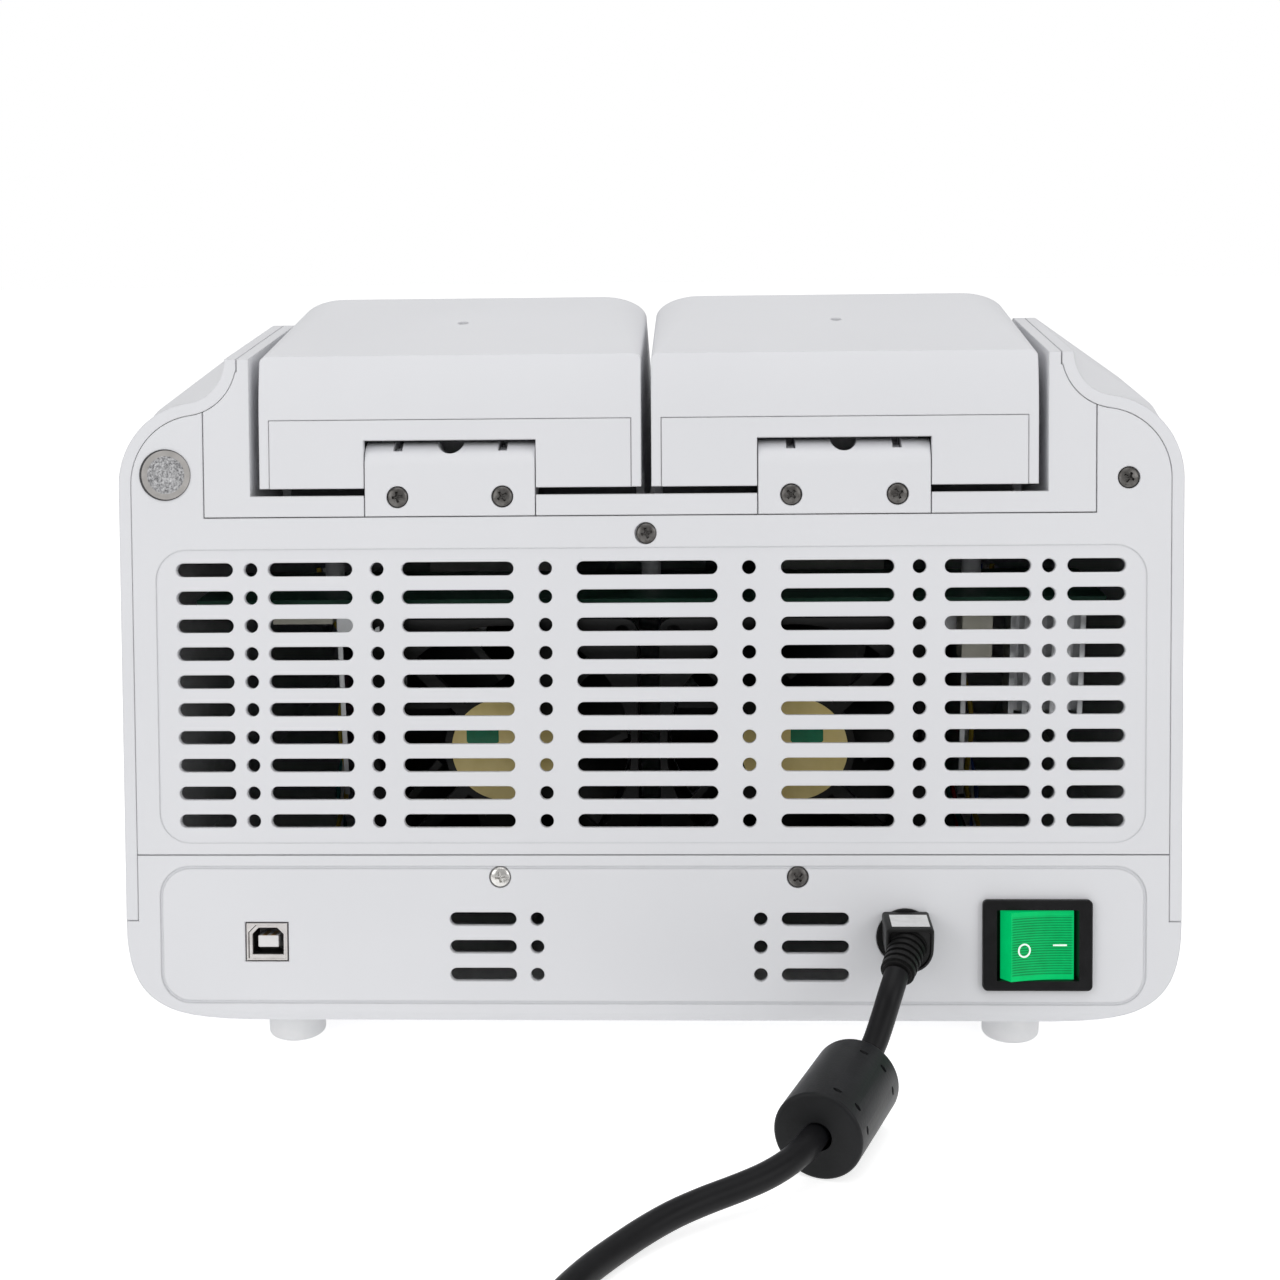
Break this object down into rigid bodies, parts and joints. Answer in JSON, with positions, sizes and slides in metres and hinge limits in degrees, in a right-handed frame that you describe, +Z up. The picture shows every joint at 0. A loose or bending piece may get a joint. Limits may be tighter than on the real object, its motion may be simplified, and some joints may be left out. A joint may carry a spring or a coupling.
{
  "type": "real-time pcr machine",
  "caption": "Bench real-time PCR machine with two side-by-side hinged heated lids over sample blocks, a leaning ventilated rear panel with cooling fans, and a plugged-in supply lead.",
  "frame": {"origin": "centre of the body's footprint, on the bench under the feet", "axes": "+Z up, -Y towards the operator's side, +Y out of the ventilated rear face, +X towards the left side of the rear view"},
  "size_m": [0.3253, 0.575, 0.2171],
  "materials": {
    "shell_plastic": "fine-textured light grey moulding",
    "light_bar": "frosted clear",
    "foot_rubber": "matt",
    "seal_silver": "grained silver film",
    "screw_nickel": "dark nickel",
    "board_green": "solder mask",
    "connector_cream": "natural nylon",
    "bare_aluminium": "machined",
    "socket_metal": "nickel plated",
    "switch_black": "smooth black",
    "rocker_green": "translucent, lit",
    "jack_black": "smooth black",
    "plug_black": "moulded",
    "relief_rubber": "matt",
    "cord_black": "smooth jacket",
    "ferrite_cover": "moulded skin",
    "adapter_black": "fine texture",
    "tray_grey": "mid grey",
    "wire_colours": "insulated wires of several colours",
    "pin_steel": "ground",
    "optics_black": "light-absorbing black",
    "peltier_white": "ceramic",
    "fan_black": "smooth black",
    "fan_label_gold": "plain printed film"
  },
  "bodies": {
    "chassis": {"base_tray": "shell_plastic", "rear_grille_panel": "shell_plastic", "top_cover": "shell_plastic", "front_cover": "shell_plastic", "status_lights": "light_bar", "feet": "foot_rubber", "seal_disc": "seal_silver", "cover_screws": "screw_nickel", "fan_board": "board_green", "board_connectors": "connector_cream", "board_cooler": "bare_aluminium", "main_board": "board_green", "usb_socket": "socket_metal", "switch_bezel": "switch_black", "dc_jack": "jack_black", "dc_plug": "plug_black", "strain_relief": "relief_rubber", "supply_cord": "cord_black", "ferrite_bead": "ferrite_cover", "cord_coil": "cord_black", "power_adapter": "adapter_black", "adapter_lead": "cord_black", "right_side_cover": "shell_plastic", "right_wires": "wire_colours", "right_hinge_bracket": "shell_plastic", "right_hinge_pin": "pin_steel", "right_sample_block": "bare_aluminium", "right_peltier": "peltier_white", "right_heat_sink": "bare_aluminium", "right_fan_frame": "fan_black", "right_fan_label": "fan_label_gold", "left_side_cover": "shell_plastic", "left_wires": "wire_colours", "left_hinge_bracket": "shell_plastic", "left_hinge_pin": "pin_steel", "left_sample_block": "bare_aluminium", "left_peltier": "peltier_white", "left_heat_sink": "bare_aluminium", "left_fan_frame": "fan_black", "left_fan_label": "fan_label_gold"},
    "right_lid": {"right_lid_shell": "shell_plastic", "right_lid_rear_cover": "shell_plastic", "right_lid_tray": "tray_grey", "right_lid_hinge_arms": "shell_plastic", "right_optics_head": "optics_black", "right_plate_springs": "pin_steel"},
    "right_plate": {"right_heated_plate": "bare_aluminium"},
    "right_rotor": {"right_fan_rotor": "fan_black"},
    "left_lid": {"left_lid_shell": "shell_plastic", "left_lid_rear_cover": "shell_plastic", "left_lid_tray": "tray_grey", "left_lid_hinge_arms": "shell_plastic", "left_optics_head": "optics_black", "left_plate_springs": "pin_steel"},
    "left_plate": {"left_heated_plate": "bare_aluminium"},
    "left_rotor": {"left_fan_rotor": "fan_black"},
    "rocker": {"switch_rocker": "rocker_green"}
  },
  "joints": [
    {"name": "right_lid_hinge", "type": "hinge", "parent": "chassis", "child": "right_lid", "pos_m": [0.05715, 0.11507, 0.17062], "axis": [-1, 0, 0], "range_deg": [0, 80]},
    {"name": "right_plate_slide", "type": "slide", "parent": "right_lid", "child": "right_plate", "axis": [0, 0, 1], "range_m": [0, 0.002], "stiffness_N_per_m": 3000, "springref_m": -0.001, "deforming": ["right_plate_springs"]},
    {"name": "right_rotor_spin", "type": "hinge", "parent": "chassis", "child": "right_rotor", "pos_m": [0.0433, 0.1125, 0.0873], "axis": [0, 1, 0], "continuous": true},
    {"name": "left_lid_hinge", "type": "hinge", "parent": "chassis", "child": "left_lid", "pos_m": [-0.05715, 0.11507, 0.17062], "axis": [-1, 0, 0], "range_deg": [0, 80]},
    {"name": "left_plate_slide", "type": "slide", "parent": "left_lid", "child": "left_plate", "axis": [0, 0, 1], "range_m": [0, 0.002], "stiffness_N_per_m": 3000, "springref_m": -0.001, "deforming": ["left_plate_springs"]},
    {"name": "left_rotor_spin", "type": "hinge", "parent": "chassis", "child": "left_rotor", "pos_m": [-0.0433, 0.1125, 0.0873], "axis": [0, 1, 0], "continuous": true},
    {"name": "rocker_tilt", "type": "hinge", "parent": "chassis", "child": "rocker", "pos_m": [-0.1127, 0.14531, 0.03435], "axis": [0, 0.1822, -0.9833], "range_deg": [0, 22.42]}
  ]
}
